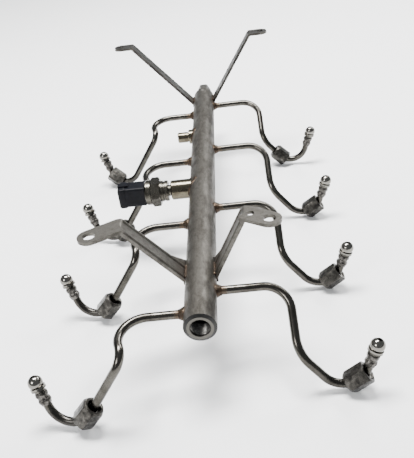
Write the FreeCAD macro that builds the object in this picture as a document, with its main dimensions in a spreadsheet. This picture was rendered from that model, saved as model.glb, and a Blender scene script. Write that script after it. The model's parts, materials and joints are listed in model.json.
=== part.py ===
"""High-pressure fuel rail of a V-eight engine, with its feed pipes, union nuts, brackets and sensor.

Millimetres. The origin is the centre of the rail's front port. +Y runs along the rail to its rear,
+X is the right-hand bank of cylinders and +Z is the side on which the bracket tabs stand.
A turned piece is drawn about its own Z axis and then placed.
"""

import FreeCAD, Part
import math
import os

import Sketcher
from FreeCAD import Placement, Rotation, Vector

os.makedirs("parts", exist_ok=True)
doc = FreeCAD.newDocument("FuelRail")

# ---------------------------------------------------------------- driving dimensions, in the sheet

SIZES = {
    # rail tube
    "rail_dia": 22, "rail_tail": 30.5, "gallery_dia": 9, "rail_end_chamfer": 1,
    "port_dia": 13, "port_depth": 16, "port_lead": 0.4, "port_land_wide": 1.85, "port_bevel": 1,
    # rear plug
    "plug_flats": 13, "plug_head": 24, "plug_shank_dia": 10, "plug_shank": 12, "plug_chamfer": 0.8,
    # where things stand along the rail: the feeds from the front, the rest from the nearest feed or end
    "first_feed": 37.5, "feed_pitch": 112, "bank_stagger": 21.5, "sensor_ahead": 52,
    "inlet_ahead": 54.5, "bracket_behind": 20, "stay_inset": 16.5,
    # feed pipes: corner points of the centre line, seen from the rail axis
    "tube_dia": 6, "tube_bore": 2.4, "socket_depth": 4, "corner_out": 59, "corner_radius": 18,
    "right_knee_out": 60, "right_knee_fore": 37, "right_knee_drop": 29, "right_knee_radius": 21,
    "left_knee_out": 48.5, "left_knee_fore": 34, "left_knee_drop": 3, "left_knee_radius": 10,
    "dip_out": 94, "dip_radius": 16, "right_dip_fore": 44, "right_dip_drop": 69,
    "left_dip_fore": 40, "left_dip_drop": 69,
    "head_out": 110, "head_drop": 24, "right_head_fore": 41, "left_head_fore": 26,
    # ball nose and sleeve on each pipe end, measured back from the ball centre
    "ball_dia": 10, "nose_bore": 3.4, "nose_bore_depth": 3, "collar_start": 2.8,
    "collar_play": 0.2, "collar_width": 2, "neck_wall": 0.6, "neck_width": 1.5,
    "sleeve_wall": 1.4, "sleeve_length": 10, "sleeve_groove": 0.7, "slip_fit": 0.06,
    # union nuts: the hole passes the sleeve, the thread passes the collar
    "nut_play": 0.4, "thread_step": 0.6, "nut_wall": 1.6, "nut_length": 16, "nut_hole_depth": 4.2,
    "nut_bevel": 2.6, "nut_cant": 2,
    # welds
    "weld_foot": 2.8, "weld_lip": 0.6, "weld_reach": 5.5, "weld_sink": 3, "weld_wide": 1.8,
    # inlet stub
    "stub_dia": 10.4, "stub_length": 11, "stub_collar_dia": 14, "stub_collar": 3.5, "stub_bore": 4,
    # sensor boss and sensor, one after another along the sensor's own axis from the rail's surface
    "boss_wall": 2.5, "boss_height": 16, "boss_bevel": 0.8, "boss_thread_dia": 12, "boss_thread": 11.5,
    "sensor_channel": 2.5, "sensor_neck_dia": 9.6, "sensor_gap": 2.4, "sensor_collar_dia": 18,
    "sensor_collar": 7, "sensor_flats": 22, "sensor_hex": 7.8, "sensor_spigot": 2,
    "sensor_pocket_dia": 13, "sensor_pocket": 7, "ring_dia": 21.6, "ring_wall": 1.9, "ring_length": 5.4,
    "ring_lip": 0.8, "plug_body_length": 23, "plug_body_wide": 15.5, "plug_body_tall": 17.5,
    "plug_wall": 1.8, "plug_socket": 14, "pin_wide": 1.5, "pin_thick": 0.8, "pin_pitch": 3.6,
    "pin_reach": 8, "key_wide": 6, "key_tall": 1.4, "key_long": 9,
    # front brackets, pressed strips with two ribs
    "strip_thick": 2.5, "bracket_wide": 16, "bracket_rise": 45, "bracket_left_out": 49.5,
    "bracket_right_out": 35, "tab_left_hole": 21.8, "tab_right_hole": 19.1, "tab_left_skew": 30,
    "tab_right_skew": 35, "tab_radius": 8, "tab_hole_dia": 8.5, "rib_dia": 3.2,
    "rib_proud": 0.9, "rib_inset": 2.2, "foot_flare": 10, "foot_long": 16, "foot_sink": 2, "slot_hole_dia": 5.5, "slot_place": 4.2,
    # rear stays, flat strips
    "stay_thick": 2.5, "stay_wide": 14, "stay_rise": 69.5, "stay_left_out": 69, "stay_right_out": 57,
    "stay_tab_hole": 11, "stay_hole_dia": 6.6,
}

sheet = doc.addObject("Spreadsheet::Sheet", "Sizes")
for row, (alias, number) in enumerate(SIZES.items(), start=1):
    sheet.set("A%d" % row, alias.replace("_", " "))
    sheet.set("B%d" % row, str(number))
    sheet.setAlias("B%d" % row, alias)
doc.recompute()


class Dim:
    """A length that knows its number and the sheet expression it comes from."""

    def __init__(self, value, text):
        self.value, self.text = float(value), text

    @staticmethod
    def of(other):
        return other if isinstance(other, Dim) else Dim(other, repr(float(other)))

    def _join(self, other, sign, value):
        return Dim(value, "(%s %s %s)" % (self.text, sign, other.text))

    def __add__(self, other):
        other = Dim.of(other)
        return self._join(other, "+", self.value + other.value)

    def __sub__(self, other):
        other = Dim.of(other)
        return self._join(other, "-", self.value - other.value)

    def __mul__(self, other):
        other = Dim.of(other)
        return self._join(other, "*", self.value * other.value)

    def __truediv__(self, other):
        other = Dim.of(other)
        return self._join(other, "/", self.value / other.value)

    def __radd__(self, other):
        return Dim.of(other) + self

    def __rsub__(self, other):
        return Dim.of(other) - self

    def __rmul__(self, other):
        return Dim.of(other) * self

    def __neg__(self):
        return 0 - self

    def __float__(self):
        return self.value


D = {alias: Dim(sheet.get(alias), "Sizes." + alias) for alias in SIZES}
N = {alias: float(dim) for alias, dim in D.items()}

pieces = {}


def bind(obj, **sizes):
    """Bind properties of an object to sheet expressions; Base_x stands for Placement.Base.x."""
    for name, dim in sizes.items():
        path = "Placement.Base." + name[-1] if name.startswith("Base_") else name
        obj.setExpression(path, Dim.of(dim).text)
    return obj


def piece(label, obj):
    """Name the object that is one separate physical piece."""
    obj.Label = label
    pieces[label] = obj
    return obj


def cylinder(name, dia, height, placement=None):
    obj = doc.addObject("Part::Cylinder", name)
    if placement:
        obj.Placement = placement
    return bind(obj, Radius=Dim.of(dia) / 2, Height=height)


def box(name, x, y, z, placement=None):
    obj = doc.addObject("Part::Box", name)
    if placement:
        obj.Placement = placement
    return bind(obj, Length=x, Width=y, Height=z)


def fuse(name, *shapes):
    obj = doc.addObject("Part::MultiFuse", name)
    obj.Shapes, obj.Refine = list(shapes), True
    return obj


def cut(name, base, *tools):
    obj = doc.addObject("Part::Cut", name)
    obj.Base, obj.Tool = base, tools[0] if len(tools) == 1 else fuse(name + "Tools", *tools)
    obj.Refine = True
    return obj


def origin_feature(body, role):
    return next(o for o in body.Origin.OriginFeatures if o.Role == role)


def turned(name, outline, placement=None):
    """Revolve a closed outline of (radius, height) corners about the piece's own Z axis."""
    body = doc.addObject("PartDesign::Body", name)
    sketch = body.newObject("Sketcher::SketchObject", name + "Outline")
    sketch.AttachmentSupport = [(origin_feature(body, "XZ_Plane"), "")]
    sketch.MapMode = "FlatFace"
    corners = [(Dim.of(r), Dim.of(z)) for r, z in outline]
    points = [Vector(r.value, z.value, 0) for r, z in corners]
    count = len(points)
    for i in range(count):
        sketch.addGeometry(Part.LineSegment(points[i], points[(i + 1) % count]), False)
    for i in range(count):
        sketch.addConstraint(Sketcher.Constraint("Coincident", i, 2, (i + 1) % count, 1))
        for kind, axis, dim in (("DistanceX", -2, corners[i][0]), ("DistanceY", -1, corners[i][1])):
            if dim.value == 0:
                sketch.addConstraint(Sketcher.Constraint("PointOnObject", i, 1, axis))
            elif dim.value < 0:
                index = sketch.addConstraint(Sketcher.Constraint(kind, i, 1, -1, 1, -dim.value))
                sketch.setExpression("Constraints[%d]" % index, (-dim).text)
            else:
                index = sketch.addConstraint(Sketcher.Constraint(kind, -1, 1, i, 1, dim.value))
                sketch.setExpression("Constraints[%d]" % index, dim.text)
    revolution = body.newObject("PartDesign::Revolution", name + "Turned")
    revolution.Profile = sketch
    revolution.ReferenceAxis = (sketch, ["V_Axis"])
    revolution.Angle = 360
    body.Tip = revolution
    if placement:
        body.Placement = placement
    return body


def along(point, direction):
    """Placement that stands local Z along a direction, with local X as level as it can be."""
    z_axis = Vector(direction).normalize()
    up = Vector(0, 0, 1) if abs(z_axis.z) < 0.95 else Vector(0, 1, 0)
    x_axis = up.cross(z_axis).normalize()
    return Placement(point, Rotation(x_axis, z_axis.cross(x_axis), z_axis, "ZXY"))


rail_radius = D["rail_dia"] / 2
rail_on_y = along(Vector(0, 0, 0), Vector(0, 1, 0))
SIDES = {"right": 1, "left": -1}
BANK = range(1, 5)


def feed_place(side, number):
    """Distance of a feed from the rail's front face."""
    start = D["first_feed"] - D["bank_stagger"] if side == "left" else D["first_feed"]
    return start + (number - 1) * D["feed_pitch"]


rail_length = feed_place("right", BANK[-1]) + D["rail_tail"]
sensor_place = feed_place("left", 3) - D["sensor_ahead"]
inlet_place = feed_place("left", 4) - D["inlet_ahead"]
bracket_place = feed_place("right", 1) + D["bracket_behind"]
stay_place = rail_length - D["stay_inset"]

# ------------------------------------------------------------------------------ the feed pipes' run


def pipe_corners(side, number):
    """Corner points of a pipe's centre line, from its rail socket to the centre of its ball."""
    sign, y = SIDES[side], float(feed_place(side, number))
    knee_out, knee_fore, knee_drop = (N["%s_knee_%s" % (side, k)] for k in ("out", "fore", "drop"))
    return [
        Vector(sign * (rail_radius.value - N["socket_depth"]), y, 0),
        Vector(sign * N["corner_out"], y, 0),
        Vector(sign * knee_out, y - knee_fore, -knee_drop),
        Vector(sign * N["dip_out"], y - N[side + "_dip_fore"], -N[side + "_dip_drop"]),
        Vector(sign * N["head_out"], y - N[side + "_head_fore"], -N["head_drop"]),
    ]


def centre_line(side, number):
    """Straight runs joined by tangent arcs, as the edges of a wire."""
    corners = pipe_corners(side, number)
    radii = [N["corner_radius"], N[side + "_knee_radius"], N["dip_radius"]]
    edges, start = [], corners[0]
    for before, corner, after, radius in zip(corners, corners[1:], corners[2:], radii):
        back, ahead = (before - corner).normalize(), (after - corner).normalize()
        half = back.getAngle(ahead) / 2
        reach = radius / math.tan(half)
        first, last = corner + back * reach, corner + ahead * reach
        middle = (back + ahead).normalize()
        crown = corner + middle * (radius / math.sin(half) - radius)
        edges += [Part.LineSegment(start, first).toShape(), Part.Arc(first, crown, last).toShape()]
        start = last
    edges.append(Part.LineSegment(start, corners[-1]).toShape())
    return Part.Wire(edges)


def point_back(wire, distance):
    """Point of the centre line at a distance before its end."""
    for edge in reversed(wire.Edges):
        if distance <= edge.Length:
            ahead = edge.valueAt(edge.getParameterByLength(edge.Length - distance))
            behind = edge.valueAt(edge.getParameterByLength(distance))
            flipped = (edge.valueAt(edge.LastParameter) - wire_end(wire, edge)).Length > 1e-6
            return behind if flipped else ahead
        distance -= edge.Length
    return wire.Edges[0].valueAt(wire.Edges[0].FirstParameter)


def wire_end(wire, edge):
    """End of an edge that is nearer, along the wire, to the wire's last point."""
    edges = wire.Edges
    place = next(i for i, other in enumerate(edges) if other.isSame(edge))
    ends = [edge.valueAt(edge.FirstParameter), edge.valueAt(edge.LastParameter)]
    if place + 1 < len(edges):
        following = edges[place + 1]
        touch = [following.valueAt(following.FirstParameter), following.valueAt(following.LastParameter)]
        return min(ends, key=lambda end: min((end - other).Length for other in touch))
    before = edges[place - 1]
    touch = [before.valueAt(before.FirstParameter), before.valueAt(before.LastParameter)]
    return max(ends, key=lambda end: min((end - other).Length for other in touch))


# ----------------------------------------------------------------------------------- the rail tube

port, gallery = D["port_dia"] / 2, D["gallery_dia"] / 2
bevel, lead = D["port_bevel"], D["port_lead"]
land = port + lead + D["port_land_wide"]
plug_hole = D["plug_shank_dia"] / 2 + D["slip_fit"]
rear, chamfer = rail_length, D["rail_end_chamfer"]
rail_blank = turned("RailBlank", [
    (port + lead, 0), (land, 0), (rail_radius, bevel), (rail_radius, rear - chamfer),
    (rail_radius - chamfer, rear), (plug_hole, rear), (plug_hole, rear - D["plug_shank"] - 1),
    (gallery, rear - D["plug_shank"] - 1), (gallery, D["port_depth"] + port - gallery),
    (port, D["port_depth"]), (port, lead),
], rail_on_y)

drillings = []
for side, sign in SIDES.items():
    for number in BANK:
        tag, y = "%s%d" % (side.title(), number), float(feed_place(side, number))
        outward = Vector(sign, 0, 0)
        socket_floor = Vector(sign * (rail_radius.value - N["socket_depth"]), y, 0)
        drillings.append(cylinder("Socket" + tag, D["tube_dia"] + 2 * D["slip_fit"],
                                  2 * D["socket_depth"], along(socket_floor, outward)))
        drillings.append(cylinder("Port" + tag, D["tube_bore"], rail_radius,
                                  along(Vector(0, y, 0), outward)))
side_ports = {"sensor": (D["sensor_channel"], sensor_place), "inlet": (D["stub_bore"], inlet_place)}
for name, (dia, where) in side_ports.items():
    place = Vector(0, float(where), 0)
    drillings.append(cylinder(name.title() + "Port", dia, D["rail_dia"], along(place, Vector(-1, 0, 0))))
piece("rail_tube", cut("RailTube", rail_blank, *drillings))

# the rail's outside as a plain rod: what is welded on the rail is trimmed by it
rail_rod = cylinder("RailRod", D["rail_dia"], rail_length, rail_on_y)

# ----------------------------------------------------------------------------------- the rear plug

plug_placement = along(Vector(0, float(rail_length), 0), Vector(0, 1, 0))
plug_head = doc.addObject("Part::Prism", "PlugHead")
plug_head.Polygon, plug_head.Placement = 6, plug_placement
bind(plug_head, Circumradius=D["plug_flats"] / math.sqrt(3), Height=D["plug_head"])
plug_crown = D["plug_flats"] / math.sqrt(3) + 0.1
plug_bevel = turned("PlugBevel", [
    (0, 0), (plug_crown, 0), (plug_crown, D["plug_head"] - D["plug_chamfer"]),
    (plug_crown - 2 * D["plug_chamfer"], D["plug_head"]), (0, D["plug_head"]),
], plug_placement)
plug_faced = doc.addObject("Part::Common", "PlugFaced")
plug_faced.Base, plug_faced.Tool = plug_head, plug_bevel
plug_shank = cylinder("PlugShank", D["plug_shank_dia"], D["plug_shank"] + 1,
                      along(Vector(0, float(rail_length) + 1, 0), Vector(0, -1, 0)))
piece("rail_rear_plug", fuse("RearPlug", plug_faced, plug_shank))

# ----------------------------------------------------------- feed pipes, sleeves, nuts and welds

collar_end = D["collar_start"] + D["collar_width"]
neck_end = collar_end + D["neck_width"]
tube = D["tube_dia"] / 2
sleeve_out = tube + D["sleeve_wall"]
nut_hole = sleeve_out + D["nut_play"]
nut_thread = nut_hole + D["thread_step"]
nut_flat = nut_thread + D["nut_wall"]

# how far back from the ball centre each nut's open end lies, along the pipe
NUT_MOUTH = {
    "right": {1: 21, 2: 21, 3: 21.5, 4: 45},
    "left": {1: 45, 2: 44, 3: 44, 4: 19},
}


def nut_placement(wire, mouth):
    """A loose nut's axis: the chord of the pipe under it, moved towards the bow until the play
    at the rim of the hole and the play inside the thread are the same."""
    length = N["nut_length"]
    near, far = point_back(wire, mouth), point_back(wire, mouth + length)
    chord_middle = (near + far) * 0.5
    bow = point_back(wire, mouth + length / 2) - chord_middle
    chord = (near - far).normalize()
    slope = 2 * math.atan(2 * bow.Length / (near - far).Length)
    rim_play = nut_hole.value - tube.value / math.cos(slope)
    thread_play = nut_thread.value - tube.value - bow.Length
    shift = (rim_play - thread_play) / 2
    axis = Rotation(chord.cross(bow), N["nut_cant"]).multVec(chord)
    return along(chord_middle + bow.normalize() * shift - axis * (length / 2), axis)


def union_nut(tag, placement):
    """Hexagon nut with a clearance hole at its bevelled end and a thread bore at the other."""
    prism = doc.addObject("Part::Prism", "NutHexagon" + tag)
    prism.Polygon, prism.Placement = 6, placement
    crown = nut_flat * 2 / math.sqrt(3)
    bind(prism, Circumradius=crown, Height=D["nut_length"])
    body = turned("NutBore" + tag, [
        (nut_hole, 0), (nut_flat - 0.6, 0), (crown + 0.1, D["nut_bevel"]),
        (crown + 0.1, D["nut_length"] - 0.8), (nut_flat + 0.3, D["nut_length"]),
        (nut_thread + 0.7, D["nut_length"]), (nut_thread, D["nut_length"] - 0.7),
        (nut_thread, D["nut_hole_depth"] + D["thread_step"]), (nut_hole, D["nut_hole_depth"]),
    ], placement)
    nut = doc.addObject("Part::Common", "Nut" + tag)
    nut.Base, nut.Tool = prism, body
    return nut


for side, sign in SIDES.items():
    for number in BANK:
        tag, node = "%s%d" % (side.title(), number), "%s_%d" % (side, number)
        wire = centre_line(side, number)
        path = doc.addObject("Part::Feature", "Path" + tag)
        path.Shape = wire
        socket = pipe_corners(side, number)[0]
        outward = Vector(sign, 0, 0)
        sweeps = []
        for name, dia in (("Tube", D["tube_dia"]), ("Bore", D["tube_bore"])):
            ring = doc.addObject("Part::Circle", name + "Ring" + tag)
            ring.Placement = along(socket, outward)
            bind(ring, Radius=dia / 2)
            sweep = doc.addObject("Part::Sweep", name + "Sweep" + tag)
            sweep.Sections, sweep.Solid, sweep.Frenet = [ring], True, False
            sweep.Spine = (path, ["Edge%d" % (i + 1) for i in range(len(wire.Edges))])
            sweeps.append(sweep)
        ball = pipe_corners(side, number)[-1]
        back = (pipe_corners(side, number)[-2] - ball).normalize()
        nose = doc.addObject("Part::Sphere", "Ball" + tag)
        nose.Placement = along(ball, back)
        bind(nose, Radius=D["ball_dia"] / 2)
        collar = cylinder("Collar" + tag, 2 * (nut_thread - D["collar_play"]), D["collar_width"],
                          along(ball + back * N["collar_start"], back))
        neck = cylinder("Neck" + tag, 2 * (tube + D["neck_wall"]), neck_end, along(ball, back))
        mouth = cylinder("Mouth" + tag, D["nose_bore"], D["nose_bore_depth"],
                         along(ball - back * (N["ball_dia"] / 2), back))
        drill = cylinder("Drill" + tag, D["tube_bore"], D["ball_dia"],
                         along(ball - back * (N["ball_dia"] / 2), back))
        head = fuse("PipeSolid" + tag, sweeps[0], nose, collar, neck)
        piece("feed_pipe_" + node, cut("Pipe" + tag, head, sweeps[1], mouth, drill))

        grip, out, groove = tube + D["slip_fit"], sleeve_out, D["sleeve_groove"]
        long = D["sleeve_length"]
        piece("thrust_sleeve_" + node, turned("Sleeve" + tag, [
            (grip, 0), (out - 0.6, 0), (out, 0.8), (out, long * 0.34), (out - groove, long * 0.4),
            (out - groove, long * 0.52), (out, long * 0.58), (out, long - 1.2),
            (out - 0.9, long), (grip, long),
        ], along(ball + back * float(neck_end), back)))

        piece("union_nut_" + node, union_nut(tag, nut_placement(wire, NUT_MOUTH[side][number])))

        weld_start = Vector(sign * (rail_radius.value - N["weld_sink"]), float(feed_place(side, number)), 0)
        bead = doc.addObject("Part::Cone", "Bead" + tag)
        bead.Placement = along(weld_start, outward)
        bind(bead, Radius1=tube + D["weld_foot"], Radius2=tube + D["weld_lip"],
             Height=D["weld_reach"] + D["weld_sink"])
        shaft = cylinder("BeadBore" + tag, D["tube_dia"], D["corner_out"],
                         along(Vector(0, weld_start.y, 0), outward))
        piece("weld_pipe_" + node, cut("WeldPipe" + tag, bead, rail_rod, shaft))

# ------------------------------------------------------------------------------- the inlet stub

inlet_axis = along(Vector(0, float(inlet_place), 0), Vector(-1, 0, 0))
stub, collar_r, tap = D["stub_dia"] / 2, D["stub_collar_dia"] / 2, D["stub_bore"] / 2
collar_top = rail_radius + D["stub_collar"]
stub_top = collar_top + D["stub_length"]
stub_blank = turned("StubBlank", [
    (tap, 0), (collar_r, 0), (collar_r, collar_top - 0.5),
    (collar_r - 0.5, collar_top), (stub - 0.5, collar_top), (stub - 0.5, collar_top + 1),
    (stub, collar_top + 1), (stub, stub_top - 0.8), (stub - 0.8, stub_top), (tap + 1.2, stub_top),
    (tap, stub_top - 1.8),
], inlet_axis)
piece("inlet_stub", cut("InletStub", stub_blank, rail_rod))


def weld_ring(label, axis, inner):
    """Run of weld metal round a boss of a given radius, following the rail's round side."""
    name, width = label.title().replace("_", ""), D["weld_wide"]
    ring = turned(name + "Ring", [
        (inner, 0), (inner + width, 0), (inner + width, rail_radius - width / 2),
        (inner + 0.3, rail_radius + width), (inner, rail_radius + width),
    ], axis)
    skin = cylinder(name + "Skin", D["rail_dia"] + 2 * width, rail_length, rail_on_y)
    bead = doc.addObject("Part::Common", name + "Bead")
    bead.Base, bead.Tool = ring, skin
    return piece(label, cut(name, bead, rail_rod))


weld_ring("weld_inlet", inlet_axis, collar_r)

# ----------------------------------------------------------------- the sensor's boss and the sensor

sensor_axis = along(Vector(0, float(sensor_place), 0), Vector(-1, 0, 0))
thread, boss_end = D["boss_thread_dia"] / 2, rail_radius + D["boss_height"]
boss = thread + D["boss_wall"]
channel = D["sensor_channel"] / 2
boss_blank = turned("BossBlank", [
    (channel, 0), (boss, 0), (boss, boss_end - D["boss_bevel"]),
    (boss - D["boss_bevel"], boss_end), (thread + D["slip_fit"], boss_end),
    (thread + D["slip_fit"], boss_end - D["boss_thread"]), (channel, boss_end - D["boss_thread"]),
], sensor_axis)
piece("sensor_boss", cut("SensorBoss", boss_blank, rail_rod))
weld_ring("weld_sensor_boss", sensor_axis, boss)

seat = boss_end - D["boss_thread"] + 0.3
collar_at = boss_end + D["sensor_gap"]
hex_at = collar_at + D["sensor_collar"]
hex_top = hex_at + D["sensor_hex"]
spigot, spigot_top = D["ring_dia"] / 2 - D["ring_wall"], hex_top + D["sensor_spigot"]
pocket, pocket_floor = D["sensor_pocket_dia"] / 2, spigot_top - D["sensor_pocket"]
neck_r, flange_r = D["sensor_neck_dia"] / 2, D["sensor_collar_dia"] / 2
sensor_turned = turned("SensorTurned", [
    (channel, seat), (thread - 1, seat), (thread, seat + 1), (thread, boss_end - 1),
    (neck_r, boss_end - 1), (neck_r, collar_at), (flange_r - 0.5, collar_at),
    (flange_r, collar_at + 0.5), (flange_r, collar_at + D["sensor_collar"] * 0.4),
    (flange_r - 0.6, collar_at + D["sensor_collar"] * 0.45),
    (flange_r - 0.6, collar_at + D["sensor_collar"] * 0.6),
    (flange_r, collar_at + D["sensor_collar"] * 0.65), (flange_r, hex_at + 1),
    (spigot - D["slip_fit"], hex_at + 1), (spigot - D["slip_fit"], spigot_top),
    (pocket, spigot_top), (pocket, pocket_floor), (channel, pocket_floor),
], sensor_axis)
sensor_prism = doc.addObject("Part::Prism", "SensorHexagon")
sensor_prism.Polygon = 6
sensor_prism.Placement = along(Vector(-float(hex_at), float(sensor_place), 0), Vector(-1, 0, 0))
bind(sensor_prism, Circumradius=D["sensor_flats"] / math.sqrt(3), Height=D["sensor_hex"])
hex_crown, hex_flat = D["sensor_flats"] / math.sqrt(3) + 0.1, D["sensor_flats"] / 2
sensor_bevel = turned("SensorHexBevel", [
    (pocket, hex_at), (hex_flat, hex_at), (hex_crown, hex_at + 1.2), (hex_crown, hex_top - 1.2),
    (hex_flat, hex_top), (pocket, hex_top),
], sensor_axis)
sensor_hex = doc.addObject("Part::Common", "SensorHex")
sensor_hex.Base, sensor_hex.Tool = sensor_prism, sensor_bevel
piece("sensor_body", fuse("SensorBody", sensor_turned, sensor_hex))

shelf = pocket_floor + 3
disc = pocket - D["slip_fit"]
piece("sensor_diaphragm", turned("SensorDiaphragm", [
    (0, pocket_floor + 0.8), (disc - 1, pocket_floor + 0.8), (disc - 1, shelf), (disc, shelf),
    (disc, pocket_floor), (channel, pocket_floor), (channel, pocket_floor + 0.3),
    (0, pocket_floor + 0.3),
], sensor_axis))
board_top = shelf + 1.2
piece("sensor_board", turned("SensorBoard", [(0, shelf), (disc, shelf), (disc, board_top), (0, board_top)],
                             sensor_axis))

ring_r, ring_top = D["ring_dia"] / 2, hex_top + D["ring_length"]
lip_floor = ring_top - D["ring_lip"]
piece("sensor_crimp_ring", turned("CrimpRing", [
    (spigot, hex_top), (ring_r - 0.4, hex_top), (ring_r, hex_top + 0.4), (ring_r, ring_top - 1.2),
    (ring_r - 1.2, ring_top), (spigot - 0.8, ring_top), (spigot - 0.8, lip_floor), (spigot, lip_floor),
], sensor_axis))

seal_top = spigot_top + 1
piece("sensor_seal_ring", turned("SealRing", [
    (spigot - 1.6, spigot_top), (spigot - 0.3, spigot_top), (spigot - 0.3, seal_top),
    (spigot - 1.6, seal_top),
], sensor_axis))

flange = spigot - D["slip_fit"]
housing_turned = turned("HousingFlange", [
    (0, seal_top), (flange, seal_top), (flange, lip_floor), (spigot - 1, lip_floor),
    (spigot - 1, ring_top + 1), (0, ring_top + 1),
], sensor_axis)
wide, tall, body_long = D["plug_body_wide"], D["plug_body_tall"], D["plug_body_length"]
body_end = ring_top + body_long


def centred_box(name, start, length, across, height, shift_z=0.0):
    """A box on the sensor's axis, from start outwards, centred across and shifted up."""
    obj = box(name, length, across, height)
    shift_z = Dim.of(shift_z)
    return bind(obj, Base_x=-(start + length), Base_y=sensor_place - across / 2,
                Base_z=shift_z - height / 2)


housing_block = centred_box("HousingBlock", ring_top, body_long, wide, tall)
block_edges = doc.addObject("Part::Fillet", "HousingRounded")
block_edges.Base = housing_block
doc.recompute()
long_edges = [i + 1 for i, e in enumerate(housing_block.Shape.Edges)
              if abs(e.tangentAt(e.FirstParameter).x) > 0.99]
block_edges.Edges = [(i, 2.0, 2.0) for i in long_edges]
key = centred_box("HousingKey", body_end - D["key_long"], D["key_long"], D["key_wide"],
                  2 * D["key_tall"], tall / 2)
socket_start = body_end - D["plug_socket"]
socket_box = centred_box("HousingSocket", socket_start, D["plug_socket"] + 1, wide - 2 * D["plug_wall"],
                         tall - 2 * D["plug_wall"])
slots = []
pin_start, pin_length = board_top, socket_start + D["pin_reach"] - board_top
for number in (1, 2, 3):
    lift = (number - 2) * D["pin_pitch"]
    slots.append(centred_box("PinSlot%d" % number, seal_top - 1, socket_start - seal_top + 2,
                             D["pin_thick"] + 2 * D["slip_fit"], D["pin_wide"] + 2 * D["slip_fit"], lift))
    piece("sensor_terminal_%d" % number,
          centred_box("Pin%d" % number, pin_start, pin_length, D["pin_thick"], D["pin_wide"], lift))
housing_solid = fuse("HousingSolid", housing_turned, block_edges, key)
piece("sensor_housing", cut("SensorHousing", housing_solid, socket_box, *slots))

# ------------------------------------------------------------------ the front brackets and rear stays


def strip_member(side, kind, place, out, rise, wide, thick, hole_out, tab_radius, hole_dia, skew):
    """A strip welded on the rail's flank, rising outwards and bent level into a holed tab.

    Its underside meets the flank level with the rail's axis, and it goes on into the rail by its
    sink until the rail is cut away. It is drawn for the right-hand side, and the left-hand one is
    turned half a turn about a line along Z. Returns what its two kinds still add to and cut away.
    """
    tag, sign = kind + side.title(), SIDES[side]
    root, sink = rail_radius.value, N["foot_sink"]
    angle = math.atan2(rise, out - root)
    length = math.hypot(rise, out - root)
    half = wide / 2

    def in_plane(x, y, z, degrees=0.0, turn=0.0):
        """Placement in the member's own frame, +X outwards, mirrored for the left-hand side."""
        rotation = Rotation(Vector(0, 0, 1), turn) * Rotation(Vector(0, 1, 0), -degrees)
        local = Placement(Vector(x, y, z), rotation)
        if sign < 0:
            return Placement(Vector(0, place, 0), Rotation(Vector(0, 0, 1), 180)) * local
        return Placement(Vector(0, place, 0), Rotation()) * local

    tilt = math.degrees(angle)
    skew = skew * (1 if sign < 0 else -1)
    arm = box("Arm" + tag, length + sink, wide, thick,
              in_plane(root, -half.value, 0, tilt) * Placement(Vector(-sink, 0, 0), Rotation()))
    # the outside of the bend, a slice between the arm's end and the tab's start
    knuckle = cylinder("Knuckle" + tag, 2 * thick, wide, in_plane(out, half.value, rise) * Placement(
        Vector(), Rotation(Vector(1, 0, 0), 90) * Rotation(Vector(0, 0, 1), 90)))
    knuckle.Angle = tilt
    heel = cylinder("Heel" + tag, wide, thick, in_plane(out, 0, rise, 0, -90))
    heel.Angle = 180
    tab = box("Tab" + tag, hole_out, 2 * tab_radius, thick,
              in_plane(out, 0, rise, 0, skew) * Placement(Vector(0, -tab_radius.value, 0), Rotation()))
    reach = in_plane(out, 0, rise, 0, skew) * Placement(Vector(hole_out.value, 0, 0), Rotation())
    end = cylinder("TabEnd" + tag, 2 * tab_radius, thick, reach)
    hole = cylinder("TabHole" + tag, hole_dia, 3 * thick,
                    reach * Placement(Vector(0, 0, -thick.value), Rotation()))
    members, holes = [arm, knuckle, heel, tab, end], [hole, rail_rod]
    return tag, in_plane, tilt, length, members, holes, reach


def finish_member(label, tag, members, tools):
    return piece(label, cut(tag, fuse(tag + "Solid", *members), *tools))


for side in SIDES:
    thick, wide = D["strip_thick"], D["bracket_wide"]
    tag, in_plane, tilt, length, members, tools, reach = strip_member(
        side, "Bracket", float(bracket_place), N["bracket_%s_out" % side], N["bracket_rise"], wide, thick,
        D["tab_%s_hole" % side], D["tab_radius"], D["tab_hole_dia"], N["tab_%s_skew" % side])
    middle, inset = (thick + D["rib_proud"] - D["rib_dia"] / 2).value, (wide / 2 - D["rib_inset"]).value
    for name, y in (("Front", -inset), ("Rear", inset)):
        # the ribs pressed up along the arm
        along_arm = Placement(Vector(0, 0, middle), Rotation(Vector(0, 1, 0), 90))
        members.append(cylinder("Rib%s%s" % (name, tag), D["rib_dia"], length,
                                in_plane(rail_radius.value, y, 0, tilt) * along_arm))
    foot = doc.addObject("Part::Wedge", "Foot" + tag)
    foot.Placement = in_plane(rail_radius.value, 0, 0, tilt) * Placement(
        Vector(-N["foot_sink"], 0, 0), Rotation(Vector(0, 0, 1), -90))
    flared = {"right": "Xmin", "left": "Xmax"}[side]
    ends = {"Xmin": -wide / 2, "Xmax": wide / 2}
    ends[flared] = ends[flared] + D["foot_flare"] * (-1 if side == "right" else 1)
    bind(foot, **ends, X2min=-wide / 2, X2max=wide / 2,
         Ymin=0, Ymax=D["foot_long"] + D["foot_sink"], Zmin=0, Zmax=thick, Z2min=0, Z2max=thick)
    members.append(foot)
    if side == "right":
        tools.append(cylinder("SlotHole" + tag, D["slot_hole_dia"], 3 * thick,
                              reach * Placement(Vector(-N["tab_right_hole"] + N["slot_place"], 0,
                                                       -thick.value), Rotation())))
    finish_member("front_bracket_" + side, tag, members, tools)

for side in SIDES:
    tag, _, _, _, members, tools, _ = strip_member(
        side, "Stay", float(stay_place), N["stay_%s_out" % side], N["stay_rise"], D["stay_wide"],
        D["stay_thick"], D["stay_tab_hole"], D["stay_wide"] / 2, D["stay_hole_dia"], 0)
    finish_member("rear_stay_" + side, tag, members, tools)

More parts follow.
